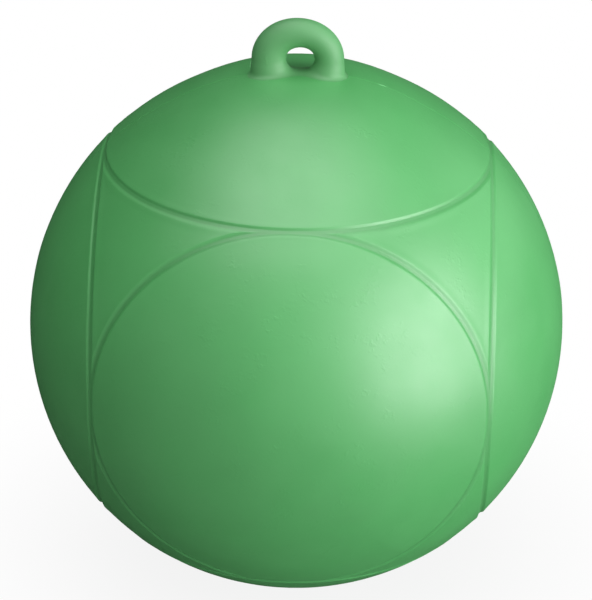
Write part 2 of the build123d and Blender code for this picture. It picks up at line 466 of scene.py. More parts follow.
class NodeBench:
    """Adds nodes to a tree, for geometry or for a material, and joins them."""

    SPACING = 190

    def __init__(self, tree):
        self.tree = tree

    def feed(self, socket, value):
        """Joins a socket to another one, or sets its own value."""
        if isinstance(value, bpy.types.NodeSocket):
            self.tree.links.new(value, socket)
        else:
            socket.default_value = value

    def add(self, kind, feeds=None, **settings):
        """Adds one node. Feeds fill its inputs by name or number."""
        node = self.tree.nodes.new(kind)
        node.location.x = self.SPACING * len(self.tree.nodes)
        for setting, value in settings.items():
            setattr(node, setting, value)
        for socket, value in (feeds or {}).items():
            self.feed(node.inputs[socket], value)
        return node

    def math(self, operation, *feeds):
        """Result of a Math node."""
        return self.add("ShaderNodeMath", dict(enumerate(feeds)), operation=operation).outputs[0]

    def vector_math(self, operation, *feeds):
        """Result of a Vector Math node that gives a vector."""
        node = self.add("ShaderNodeVectorMath", dict(enumerate(feeds)), operation=operation)
        return node.outputs["Vector"]

    def scaled(self, vector, factor):
        """A vector times a number."""
        node = self.add("ShaderNodeVectorMath", {0: vector, "Scale": factor}, operation="SCALE")
        return node.outputs["Vector"]

    def ease(self, value, start, end, low, high, kind="SMOOTHSTEP"):
        """Value taken from the range start to end, to the range low to high."""
        feeds = {"Value": value, "From Min": start, "From Max": end, "To Min": low, "To Max": high}
        return self.add("ShaderNodeMapRange", feeds, interpolation_type=kind).outputs["Result"]

    def noise(self, vector, scale, detail=2.0, roughness=0.5):
        """Even three-dimensional noise from 0 to 1."""
        feeds = {"Vector": vector, "Scale": scale, "Detail": detail, "Roughness": roughness}
        return self.add("ShaderNodeTexNoise", feeds).outputs[0]

    def ramp(self, factor, stops):
        """Colour between stops of (position, colour)."""
        node = self.add("ShaderNodeValToRGB", {"Fac": factor})
        elements = node.color_ramp.elements
        while len(elements) < len(stops):
            elements.new(0.5)
        for element, (position, colour) in zip(elements, stops):
            element.position = position
            element.color = (*colour, 1.0)
        return node.outputs["Color"]

    def object_place(self):
        """Place of a point in its object's own coordinates."""
        return self.add("ShaderNodeTexCoord").outputs["Object"]

    def bump(self, relief, strength, height, normal=None):
        """Normal of a relief of a height, laid over another normal where one is given."""
        feeds = {"Height": relief, "Strength": strength, "Distance": height}
        if normal is not None:
            feeds["Normal"] = normal
        return self.add("ShaderNodeBump", feeds).outputs["Normal"]


class ShapeTree(NodeBench):
    """A Geometry Nodes tree whose sizes are named inputs."""

    KINDS = {
        float: "NodeSocketFloat",
        Vector: "NodeSocketVector",
        bpy.types.Material: "NodeSocketMaterial",
    }

    def __init__(self, name, sizes):
        super().__init__(bpy.data.node_groups.new(name, "GeometryNodeTree"))
        self.tree.is_modifier = True
        interface = self.tree.interface
        interface.new_socket("Geometry", in_out="OUTPUT", socket_type="NodeSocketGeometry")
        interface.new_socket("Geometry", in_out="INPUT", socket_type="NodeSocketGeometry")
        self.keys = {}
        for size, value in sizes.items():
            kind = next(socket for held, socket in self.KINDS.items() if isinstance(value, held))
            self.keys[size] = interface.new_socket(size, in_out="INPUT", socket_type=kind).identifier
        self.sizes = sizes
        self.source = self.add("NodeGroupInput")

    def size(self, name):
        """Socket of one of the tree's named inputs."""
        return self.source.outputs[name]

    def place(self):
        """Position of each point."""
        return self.add("GeometryNodeInputPosition").outputs[0]

    def attribute(self, name, kind="FLOAT_VECTOR"):
        """A named attribute of each point."""
        return self.add("GeometryNodeInputNamedAttribute", {"Name": name}, data_type=kind).outputs[0]

    def marked(self, geometry, name, value, kind="FLOAT_VECTOR"):
        """Geometry whose points keep a value as a named attribute."""
        feeds = {"Geometry": geometry, "Name": name, "Value": value}
        return self.add("GeometryNodeStoreNamedAttribute", feeds, data_type=kind).outputs[0]

    def difference(self, mesh, cutter):
        """A mesh without what a cutter takes away."""
        feeds = {"Mesh 1": mesh, "Mesh 2": cutter}
        cut = self.add("GeometryNodeMeshBoolean", feeds, operation="DIFFERENCE", solver="EXACT")
        return cut.outputs["Mesh"]

    def close(self, geometry, material):
        """Ends the tree in real geometry with its material."""
        real = self.add("GeometryNodeRealizeInstances", {"Geometry": geometry})
        painted = self.add("GeometryNodeSetMaterial", {"Geometry": real.outputs[0], "Material": material})
        self.add("NodeGroupOutput", {"Geometry": painted.outputs[0]})

    def bake(self, piece):
        """Runs the tree on a piece and leaves the result as the piece's plain mesh."""
        modifier = piece.modifiers.new(self.tree.name, "NODES")
        modifier.node_group = self.tree
        for size, key in self.keys.items():
            value = self.sizes[size]
            modifier[key] = tuple(value) if isinstance(value, Vector) else value
        bake(piece)


def bake(piece):
    """Replaces a piece's mesh by its evaluated shape and drops its modifiers."""
    bpy.context.view_layer.update()
    graph = bpy.context.evaluated_depsgraph_get()
    shaped = bpy.data.meshes.new_from_object(piece.evaluated_get(graph))
    raw = piece.data
    piece.modifiers.clear()
    piece.data = shaped
    shaped.name = piece.name
    bpy.data.meshes.remove(raw)
    if not shaped.polygons:
        raise RuntimeError(f"{piece.name} came out empty")


def new_piece(name, points, faces, material=None):
    """An object from points and faces, smooth, in the scene's collection."""
    mesh = bpy.data.meshes.new(name)
    mesh.from_pydata([tuple(point) for point in points], [], [tuple(face) for face in faces])
    mesh.validate()
    mesh.shade_smooth()
    if material:
        mesh.materials.append(material)
    piece = bpy.data.objects.new(name, mesh)
    bpy.context.scene.collection.objects.link(piece)
    return piece


def weld(piece, distance):
    """Merges a piece's doubled points and turns its faces outwards."""
    shape = bmesh.new()
    shape.from_mesh(piece.data)
    bmesh.ops.remove_doubles(shape, verts=shape.verts, dist=distance)
    bmesh.ops.dissolve_degenerate(shape, edges=shape.edges, dist=distance / 10)
    bmesh.ops.recalc_face_normals(shape, faces=shape.faces)
    shape.to_mesh(piece.data)
    shape.free()
    piece.data.shade_smooth()


def hand_over(piece, body, slot, *nodes):
    """Hangs a finished piece on the body it rides on and hides the nodes it stands for; the slot is not
    used.
    """
    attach(piece, body)
    if nodes:
        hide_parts(*nodes)


# Materials


def emptied(holder):
    """Bench for the nodes of a material or a world, cleared."""
    holder.use_nodes = True
    holder.node_tree.nodes.clear()
    return NodeBench(holder.node_tree)


def new_material(name):
    """A new material, its bench of nodes and its Principled shader."""
    material = bpy.data.materials.new(name)
    bench = emptied(material)
    shader = bench.add("ShaderNodeBsdfPrincipled")
    bench.add("ShaderNodeOutputMaterial", {"Surface": shader.outputs["BSDF"]})
    return material, bench, shader


def tinted(colour, factor):
    """A colour made lighter or darker."""
    return tuple(min(1.0, channel * factor) for channel in colour)


def uneven_gloss(bench, shader, cloud, low, high):
    """Lets a shader's roughness follow a noise, from low to high."""
    bench.feed(shader.inputs["Roughness"], bench.ease(cloud, *NOISE_SPAN, low, high, "LINEAR"))


def vinyl_material(name, colour, mean, shine):
    """Green vinyl: mottled, with painted shade on the groove floors, uneven in gloss, with fine grain and
    patches of pits.
    """
    if name in bpy.data.materials:
        return bpy.data.materials[name]
    material, bench, shader = new_material(name)
    place = bench.object_place()
    mottling = bench.noise(place, scale=22.0, detail=4.0, roughness=0.6)
    # Painted shade: the groove mask darkens the colour on the groove floors, over the random mottling
    groove = bench.add("ShaderNodeAttribute", attribute_name="groove").outputs["Fac"]
    tone = bench.math("MULTIPLY", mottling, bench.math("SUBTRACT", 1.0, groove))
    tints = {0.0: GROOVE_PAINTED_SHADE, 0.25: 0.94, 0.5: 1.0, 0.75: 1.05}
    stops = [(position, tinted(colour, tint)) for position, tint in tints.items()]
    bench.feed(shader.inputs["Base Color"], bench.ramp(tone, stops))
    sheen = bench.noise(place, scale=60.0, detail=5.0, roughness=0.6)
    uneven_gloss(bench, shader, sheen, low=mean - 0.04, high=mean + 0.05)
    shader.inputs["IOR"].default_value = VINYL_IOR
    shader.inputs["Specular IOR Level"].default_value = shine
    grain = bench.bump(bench.noise(place, scale=1500.0, detail=3.0), strength=0.35, height=0.00002)
    patches = bench.ease(bench.noise(place, scale=95.0, detail=2.0), *PATCH_SPAN, 0.0, 1.0)
    pits = bench.ease(bench.noise(place, scale=560.0, detail=1.0), *PIT_SPAN, 0.0, 1.0)
    pitting = bench.math("MULTIPLY", patches, pits)
    pitted = bench.bump(pitting, strength=0.5, height=PIT_DEPTH, normal=grain)
    bench.feed(shader.inputs["Normal"], pitted)
    return material


def ball_vinyl(finish):
    """The ball's satin vinyl."""
    return vinyl_material("satin_vinyl", finish.vinyl_colour, finish.vinyl_roughness, shine=1.0)


def eye_vinyl(finish):
    """The eye's duller vinyl."""
    return vinyl_material("dull_vinyl", finish.eye_colour, finish.eye_roughness, shine=0.9)


def flash_vinyl(finish):
    """The flash's vinyl, painted paler where it stands prouder: painted light for the light that passes
    through it.
    """
    material, bench, shader = new_material("flash_vinyl")
    strength = bench.add("ShaderNodeAttribute", attribute_name="strength").outputs["Fac"]
    thin = bench.ease(strength, *FLASH_PAINTED_LIGHT, 0.0, 1.0, "LINEAR")
    stops = [(0.0, finish.vinyl_colour), (1.0, finish.flash_painted_light_colour)]
    bench.feed(shader.inputs["Base Color"], bench.ramp(thin, stops))
    sheen = bench.noise(bench.object_place(), scale=400.0, detail=3.0)
    mean = finish.eye_roughness
    uneven_gloss(bench, shader, sheen, low=mean - 0.05, high=mean + 0.05)
    return material


def plastic_material(finish):
    """Black moulded plastic with a fine spark-eroded grain."""
    if "valve_black" in bpy.data.materials:
        return bpy.data.materials["valve_black"]
    material, bench, shader = new_material("valve_black")
    place = bench.object_place()
    clouds = bench.noise(place, scale=300.0, detail=4.0)
    colour = finish.plastic_colour
    stops = [(0.3, tinted(colour, 0.8)), (0.7, tinted(colour, 1.4))]
    bench.feed(shader.inputs["Base Color"], bench.ramp(clouds, stops))
    uneven_gloss(bench, shader, clouds, low=0.34, high=0.46)
    grain = bench.noise(place, scale=5200.0, detail=2.0)
    bench.feed(shader.inputs["Normal"], bench.bump(grain, strength=0.4, height=0.00001))
    return material


def rubber_material(finish):
    """Matt black rubber with a dusty bloom."""
    material, bench, shader = new_material("washer_black")
    bloom = bench.noise(bench.object_place(), scale=700.0, detail=5.0, roughness=0.65)
    colour = finish.rubber_colour
    stops = [(0.35, colour), (0.75, tinted(colour, 2.2))]
    bench.feed(shader.inputs["Base Color"], bench.ramp(bloom, stops))
    uneven_gloss(bench, shader, bloom, low=0.72, high=0.88)
    bench.feed(shader.inputs["Normal"], bench.bump(bloom, strength=0.5, height=0.00002))
    return material


# Ball


def ease(value, start, end):
    """Smooth step from 0 at the start to 1 at the end."""
    run = np.clip((value - start) / (end - start), 0, 1)
    return run * run * (3 - 2 * run)


def hump(value, start, end):
    """Smooth hump from 0 at the start, over 1 in the middle, to 0 at the end."""
    run = np.clip((value - start) / (end - start), 0, 1)
    return np.sin(math.pi * run) ** 2


def groove_drop(distance, height, ball):
    """How far a round panel is sunk at a distance from its groove and a height on the unit ball."""
    floor = ball.groove_floor / 2
    lip = floor + ball.inner_wall
    swelling = ease(distance, floor, lip) * (1 - ease(distance, lip, lip + ball.lip_reach))
    depth = ball.groove_depth * (1 - ball.groove_gain * height)
    return depth * (1 - ease(distance, floor, lip)) - ball.lip_rise * swelling


def crown_lift(lean, ball):
    """How far the ball's face stands above its round, at an angle from the top."""
    return ball.crown_rise * (1 - ease(lean, ball.crown_inner, ball.crown_outer))


def panel_rows(ball):
    """Angles of the columns of an eighth of a panel, and of its rows out from the groove's middle."""
    floor_angle = ball.groove_floor / 2 / BALL_RADIUS
    lip_angle = floor_angle + ball.outer_wall / BALL_RADIUS
    fine = np.concatenate([
        np.linspace(0, floor_angle, FLOOR_ROWS, endpoint=False),
        np.linspace(floor_angle, lip_angle, WALL_ROWS, endpoint=False),
    ])
    fine_columns = np.arccos(np.minimum(1 / np.tan(RING_ANGLE + fine), 1))
    lip_column = math.acos(1 / math.tan(RING_ANGLE + lip_angle))
    wide_columns = np.linspace(lip_column, math.pi / 4, CORNER_COLUMNS + 1)
    columns = np.concatenate([fine_columns, wide_columns])
    rows = np.arctan(1 / np.cos(columns)) - RING_ANGLE
    return columns, rows


def inner_rows(ball):
    """Angles from a panel's centre to the rows inside its groove's middle."""
    floor_angle = ball.groove_floor / 2 / BALL_RADIUS
    lip_angle = floor_angle + ball.inner_wall / BALL_RADIUS
    calm_angle = lip_angle + ball.lip_reach / BALL_RADIUS
    return np.concatenate([
        np.linspace(0, RING_ANGLE - calm_angle, PANEL_ROWS, endpoint=False)[1:],
        np.linspace(RING_ANGLE - calm_angle, RING_ANGLE - lip_angle, LIP_ROWS, endpoint=False),
        np.linspace(RING_ANGLE - lip_angle, RING_ANGLE - floor_angle, WALL_ROWS, endpoint=False),
        np.linspace(RING_ANGLE - floor_angle, RING_ANGLE, FLOOR_ROWS, endpoint=False),
    ])


def panel_blank(ball, material):
    """One of the ball's six faces about +Z, on the unit sphere, with rows along its ring groove."""
    columns, rows = panel_rows(ball)
    quarter = np.concatenate([columns[:-1], (math.pi / 2 - columns[::-1])[:-1]])
    turns = np.concatenate([quarter + k * math.pi / 2 for k in range(4)])
    edge = np.arctan(1 / np.maximum(np.abs(np.cos(turns)), np.abs(np.sin(turns)))) - RING_ANGLE
    leans = [np.full_like(turns, lean) for lean in inner_rows(ball)]
    leans += [RING_ANGLE + np.minimum(row, edge) for row in rows]
    points = [(0, 0, 1)]
    for lean in leans:
        points += list(zip(np.sin(lean) * np.cos(turns), np.sin(lean) * np.sin(turns), np.cos(lean)))
    count = len(turns)
    faces = [(0, 1 + k, 1 + (k + 1) % count) for k in range(count)]
    for row in range(len(leans) - 1):
        near = 1 + row * count
        far = near + count
        for k in range(count):
            after = (k + 1) % count
            faces.append((near + k, far + k, far + after, near + after))
    piece = new_piece("ball_skin", points, faces, material)
    weld(piece, WELD_DISTANCE)
    return piece


def panel_sphere(tree):
    """The piece's own panel on each face of a cube, welded to a unit ball."""
    cube = tree.add("GeometryNodeMeshCube", {"Size": (2, 2, 2)})
    centres = tree.add("GeometryNodeMeshToPoints", {"Mesh": cube.outputs["Mesh"]}, mode="FACES")
    place = tree.place()
    facing = tree.marked(centres.outputs[0], "facing", place)
    gathered = tree.add("GeometryNodeSetPosition", {"Geometry": facing, "Position": tree.scaled(place, 0.0)})
    turn = tree.add("FunctionNodeAlignRotationToVector", {"Vector": tree.attribute("facing")}, axis="Z")
    panels = tree.add("GeometryNodeInstanceOnPoints", {
        "Points": gathered.outputs[0],
        "Instance": tree.size("Geometry"),
        "Rotation": turn.outputs[0],
    })
    joined = tree.add("GeometryNodeRealizeInstances", {"Geometry": panels.outputs[0]})
    feeds = {"Geometry": joined.outputs[0], "Distance": WELD_DISTANCE}
    return tree.add("GeometryNodeMergeByDistance", feeds).outputs[0]


def ring_groove(tree, nearest, upward):
    """How far a point is sunk by its ring groove, and a mask from 0 to 1 of how deep in the groove it lies,
    which paints shade on the groove floors.
    """
    off_angle = tree.math("SUBTRACT", tree.math("ARCCOSINE", nearest), tree.size("Ring Angle"))
    off_ring = tree.math("MULTIPLY", off_angle, tree.size("Ball Radius"))
    outside = tree.math("GREATER_THAN", off_ring, 0.0)
    distance = tree.math("ABSOLUTE", off_ring)
    floor = tree.size("Groove Half Floor")
    wall = tree.ease(outside, 0.0, 1.0, tree.size("Inner Wall"), tree.size("Outer Wall"), "LINEAR")
    lip = tree.math("ADD", floor, wall)
    calm = tree.math("ADD", lip, tree.size("Lip Reach"))
    raised = tree.ease(distance, floor, lip, 0.0, 1.0)
    lowered = tree.math("SUBTRACT", 1.0, raised)
    share = tree.math("SUBTRACT", 1.0, tree.math("MULTIPLY", tree.size("Groove Gain"), upward))
    drop = tree.math("MULTIPLY", tree.math("MULTIPLY", tree.size("Groove Depth"), share), lowered)
    rise = tree.ease(outside, 0.0, 1.0, tree.size("Lip Rise"), tree.size("Outer Lip"), "LINEAR")
    swelling = tree.math("MULTIPLY", raised, tree.ease(distance, lip, calm, rise, 0.0))
    return tree.math("SUBTRACT", drop, swelling), tree.math("POWER", lowered, 2.0)


def wall_rise(tree, way, parts, upward):
    """How far the wall stands above the ball's round: its parting crest, slow waves and crown."""
    off_parting = tree.math("MULTIPLY", parts["Y"], tree.size("Ball Radius"))
    reaches = tree.math("DIVIDE", off_parting, tree.size("Crest Reach"))
    fade = tree.math("EXPONENT", tree.math("MULTIPLY", reaches, -1.0))
    crest = tree.math("MULTIPLY", tree.size("Crest Height"), fade)
    waves = tree.math("SUBTRACT", tree.noise(way, WAVE_SCALE, detail=1.0), 0.5)
    off_poles = tree.ease(parts["Z"], *CALM_POLES, 2.0, 0.0)
    swell = tree.math("MULTIPLY", tree.math("MULTIPLY", waves, off_poles), tree.size("Unevenness"))
    lean = tree.math("ARCCOSINE", upward)
    crown_span = tree.size("Crown Inner"), tree.size("Crown Outer")
    crown = tree.ease(lean, *crown_span, tree.size("Crown Rise"), 0.0)
    return tree.math("ADD", tree.math("ADD", crest, swell), crown)


def drill_pocket(tree, wall):
    """The ball's wall without the valve's pocket and the bevel around it."""
    radius = tree.size("Ball Radius")
    valve = tree.size("Valve Direction")
    tilt = tree.add("FunctionNodeAlignRotationToVector", {"Vector": valve}, axis="Z").outputs[0]

    def on_valve(cutter, height):
        """A cutter moved out along the valve's axis and tilted to it."""
        place = tree.scaled(valve, height)
        feeds = {"Geometry": cutter.outputs["Mesh"], "Translation": place, "Rotation": tilt}
        return tree.add("GeometryNodeTransform", feeds).outputs[0]

    wide = tree.size("Pocket Radius")
    depth = tree.math("SUBTRACT", radius, tree.size("Pocket Floor"))
    drill = tree.add("GeometryNodeMeshCylinder", {
        "Vertices": TURNED_COLUMNS,
        "Radius": wide,
        "Depth": tree.math("MULTIPLY", depth, 2.0),
    })
    drilled = tree.difference(wall, on_valve(drill, radius))

    # The bevel's cone leans by 45 degrees and is as wide as the pocket one bevel under the rim
    squares = [tree.math("MULTIPLY", side, side) for side in (radius, wide)]
    rim = tree.math("SQRT", tree.math("SUBTRACT", *squares))
    bevel = tree.size("Pocket Lip")
    flare = tree.math("MULTIPLY", bevel, 2.0)
    cone = tree.add("GeometryNodeMeshCone", {
        "Vertices": TURNED_COLUMNS,
        "Radius Top": tree.math("ADD", wide, flare),
        "Radius Bottom": tree.math("SUBTRACT", wide, flare),
        "Depth": tree.math("MULTIPLY", flare, 2.0),
    })
    foot = tree.math("SUBTRACT", rim, tree.math("MULTIPLY", bevel, 3.0))
    return tree.difference(drilled, on_valve(cone, foot))


def ball_tree(ball, material):
    """Six panels about the cube's axes, sunk into ring grooves, with the valve's pocket cut out."""
    tree = ShapeTree("ring_groove_ball", {
        "Ball Radius": BALL_RADIUS,
        "Ring Angle": RING_ANGLE,
        "Groove Depth": ball.groove_depth,
        "Groove Gain": ball.groove_gain,
        "Groove Half Floor": ball.groove_floor / 2,
        "Inner Wall": ball.inner_wall,
        "Outer Wall": ball.outer_wall,
        "Lip Rise": ball.lip_rise,
        "Outer Lip": ball.outer_lip,
        "Lip Reach": ball.lip_reach,
        "Crest Height": ball.crest_height,
        "Crest Reach": ball.crest_reach,
        "Crown Rise": ball.crown_rise,
        "Crown Inner": ball.crown_inner,
        "Crown Outer": ball.crown_outer,
        "Unevenness": ball.unevenness,
        "Valve Direction": VALVE_AXIS,
        "Pocket Radius": ball.pocket_radius,
        "Pocket Floor": HEAD_BASE - ball.pocket_depth,
        "Pocket Lip": ball.pocket_lip,
        "Vinyl": material,
    })
    way = tree.vector_math("NORMALIZE", tree.place())
    upward = tree.add("ShaderNodeSeparateXYZ", {0: way}).outputs["Z"]
    parts = tree.add("ShaderNodeSeparateXYZ", {0: tree.vector_math("ABSOLUTE", way)}).outputs
    nearest = tree.math("MAXIMUM", tree.math("MAXIMUM", parts["X"], parts["Y"]), parts["Z"])
    sunk, groove = ring_groove(tree, nearest, upward)
    rise = wall_rise(tree, way, parts, upward)
    height = tree.math("ADD", tree.math("SUBTRACT", tree.size("Ball Radius"), sunk), rise)
    # The groove mask stays on the mesh, where the vinyl paints shade with it on the groove floors
    sphere = tree.marked(panel_sphere(tree), "groove", groove, "FLOAT")
    shaped = tree.add("GeometryNodeSetPosition", {"Geometry": sphere, "Position": tree.scaled(way, height)})
    cut = drill_pocket(tree, shaped.outputs[0])
    smooth = tree.add("GeometryNodeSetShadeSmooth", {"Geometry": cut}, domain="FACE")
    bend = tree.add("GeometryNodeInputMeshEdgeAngle").outputs["Unsigned Angle"]
    crisp = tree.add("GeometryNodeSetShadeSmooth", {
        "Geometry": smooth.outputs[0],
        "Selection": tree.math("GREATER_THAN", bend, POCKET_CRISP_ANGLE),
        "Shade Smooth": False,
    }, domain="EDGE")
    tree.close(crisp.outputs[0], tree.size("Vinyl"))
    return tree


class BallOperator(bpy.types.Operator):
    """Models the moulded ball with its six ring grooves and the valve's pocket"""

    bl_idname = "buoy.ball"
    bl_label = "Moulded ball"

    def execute(self, context):
        ball = context.scene.buoy_ball
        vinyl = ball_vinyl(context.scene.buoy_finish)
        piece = panel_blank(ball, vinyl)
        ball_tree(ball, vinyl).bake(piece)
        hand_over(piece, "buoy", "vinyl", "ball_shell")
        return {"FINISHED"}


# Rope eye


def smooth_union(first, second, blend):
    """Union of two distance fields, with a soft fillet about as wide as the blend."""
    overlap = np.maximum(blend - np.abs(first - second), 0)
    return np.minimum(first, second) - overlap * overlap / (4 * blend)


def band_distance(off_middle, half_band, across, eye):
    """Distance to the loop's oval section, near its face, from its middle line."""
    half_deep = eye.thickness / 2
    size = np.hypot(off_middle / half_band, across / half_deep) + TINY
    slope = np.hypot(off_middle / half_band**2, across / half_deep**2) + TINY
    return size * (size - 1) / slope


def hole_reach(side, rise, eye):
    """Distance from the rope hole's middle to its edge, in a direction to the side and up."""
    reach = HOLE_RADIUS + eye.hole_stretch * side**2 + eye.hole_shift * side
    return reach - eye.hole_sag * np.maximum(rise, 0) ** 2


def loop_distance(x, y, z, eye):
    """Distance to the eye's loop: an arch and a saddle around the hole, on two straight legs."""
    rise = z - HOLE_HEIGHT
    reach = np.hypot(x, rise) + TINY_LENGTH
    upright = (rise / reach) ** 2
    top = EYE_TOP - eye.top_sag - HOLE_HEIGHT
    outer = eye.half_width + (top - eye.half_width) * upright + eye.loop_shift * x / reach
    inner = hole_reach(x / reach, rise / reach, eye)
    ring = band_distance(reach - (outer + inner) / 2, (outer - inner) / 2, y, eye)
    side = np.sign(x)
    leg_outer = eye.half_width + eye.loop_shift * side
    leg_inner = HOLE_RADIUS + eye.hole_stretch + eye.hole_shift * side
    legs = band_distance(np.abs(x) - (leg_outer + leg_inner) / 2, (leg_outer - leg_inner) / 2, y, eye)
    blend = eye.saddle_blend * ease(-rise, 0, HOLE_RADIUS) + TINY
    return np.where(rise > 0, ring, smooth_union(ring, legs, blend))


def ball_distance(x, y, z, ball):
    """Distance to the ball's face about its crown."""
    reach = np.sqrt(x * x + y * y + z * z)
    return reach - BALL_RADIUS - crown_lift(np.arccos(np.clip(z / reach, -1, 1)), ball)


def crown_distance(x, y, z, eye, ball):
    """Distance to the loop and the ball's crown, joined by a fillet."""
    return smooth_union(loop_distance(x, y, z, eye), ball_distance(x, y, z, ball), eye.foot_blend)


def window(array, axis, start, count):
    """The part of an array that runs over a count from a start, along one axis."""
    kept = [slice(None)] * array.ndim
    kept[axis] = slice(start, start + count)
    return array[tuple(kept)]


def sign_changes(values, axis):
    """Grid lines along an axis where a field changes sign, how far along, and which start inside."""
    count = values.shape[axis] - 1
    first, second = window(values, axis, 0, count), window(values, axis, 1, count)
    inside = first < 0
    crossed = inside != (second < 0)
    share = np.where(crossed, first / np.where(crossed, first - second, 1), 0)
    return crossed, share, inside


def cell_points(lines, cells):
    """A number for each grid cell that the skin runs through, and the mean of its crossings there."""
    sums = np.zeros((*cells, 3))
    hits = np.zeros(cells)
    for axis, (crossed, share, _) in enumerate(lines):
        one, two = (other for other in range(3) if other != axis)
        for near, far in itertools.product((0, 1), repeat=2):
            here = window(window(crossed, one, near, cells[one]), two, far, cells[two])
            along = window(window(share, one, near, cells[one]), two, far, cells[two])
            hits += here
            sums[..., axis] += here * along
            sums[..., one] += here * near
            sums[..., two] += here * far
    used = hits > 0
    numbers = np.full(cells, -1)
    numbers[used] = np.arange(used.sum())
    return numbers, np.argwhere(used) + sums[used] / hits[used][:, None]


def cell_quads(lines, numbers):
    """A quad between the four cells around each crossed grid line, facing outwards."""
    unit = np.eye(3, dtype=int)
    faces = []
    for axis, (crossed, _, inside) in enumerate(lines):
        one, two = (axis + 1) % 3, (axis + 2) % 3
        spots = np.argwhere(crossed)
        keep = (spots[:, one] > 0) & (spots[:, two] > 0)
        keep &= (spots[:, one] < numbers.shape[one]) & (spots[:, two] < numbers.shape[two])
        spots = spots[keep]
        around = [spots, spots - unit[one], spots - unit[one] - unit[two], spots - unit[two]]
        quads = np.stack([numbers[tuple(spot.T)] for spot in around], axis=1)
        outward = inside[tuple(spots.T)]
        faces.append(np.where(outward[:, None], quads, quads[:, ::-1]))
    return np.concatenate(faces)


def slopes(field, points, step):
    """Slope of a distance field at each point."""
    result = np.empty_like(points)
    for axis in range(3):
        shift = np.zeros(3)
        shift[axis] = step
        result[:, axis] = (field(*(points + shift).T) - field(*(points - shift).T)) / (2 * step)
    return result


def drawn_onto(field, points, step):
    """Points moved onto a distance field's zero, by half a step at most in each of a few pulls."""
    for _ in range(SKIN_PULLS):
        slope = slopes(field, points, step / SLOPE_PARTS)
        steepness = np.maximum((slope * slope).sum(axis=1), LEAST_STEEPNESS)
        move = (field(*points.T) / steepness)[:, None] * slope
        points = points - np.clip(move, -step / 2, step / 2)
    return points


def skin_of_field(field, corner, step, counts):
    """Closed skin of quads where a distance field is zero, found on a grid and then drawn onto it."""
    axes = [corner[k] + step * np.arange(counts[k]) for k in range(3)]
    values = field(*np.meshgrid(*axes, indexing="ij"))
    lines = [sign_changes(values, axis) for axis in range(3)]
    numbers, places = cell_points(lines, tuple(count - 1 for count in counts))
    return drawn_onto(field, corner + step * places, step), cell_quads(lines, numbers)


class EyeOperator(bpy.types.Operator):
    """Models the rope eye as one soft form that flows into the ball's crown"""

    bl_idname = "buoy.rope_eye"
    bl_label = "Rope eye"

    SINK = 0.00003  # the skirt's edge lies this far under the ball's face
    SKIRT = 0.0012  # how far the skirt reaches past the fillet
    ROOT = 0.0020  # thickness of the skirt inside the ball

    def closed_field(self, x, y, z, eye, ball):
        """Distance to the loop with its thin skirt, closed underneath."""
        loop = loop_distance(x, y, z, eye)
        face = ball_distance(x, y, z, ball)
        solid = smooth_union(loop, face + self.SINK, eye.foot_blend)
        under = -face - self.ROOT
        beyond = loop - eye.foot_blend - self.SKIRT
        return np.maximum(np.maximum(solid, under), beyond)

    def execute(self, context):
        eye, ball = context.scene.buoy_eye, context.scene.buoy_ball
        wide = eye.half_width + eye.foot_blend + 2 * self.SKIRT
        deep = eye.thickness / 2 + eye.foot_blend + 2 * self.SKIRT
        low = math.sqrt(BALL_RADIUS**2 - wide**2 - deep**2) - 2 * self.ROOT
        corner = np.array([-wide, -deep, low])
        size = np.array([wide, deep, EYE_TOP + EYE_CELL * 3]) - corner
        counts = np.ceil(size / EYE_CELL).astype(int) + 1
        points, faces = skin_of_field(
            lambda x, y, z: self.closed_field(x, y, z, eye, ball), corner, EYE_CELL, counts
        )
        piece = new_piece("eye_loop", points, faces, eye_vinyl(context.scene.buoy_finish))
        hand_over(piece, "buoy", "vinyl", "rope_eye")
        return {"FINISHED"}


# Mould seam


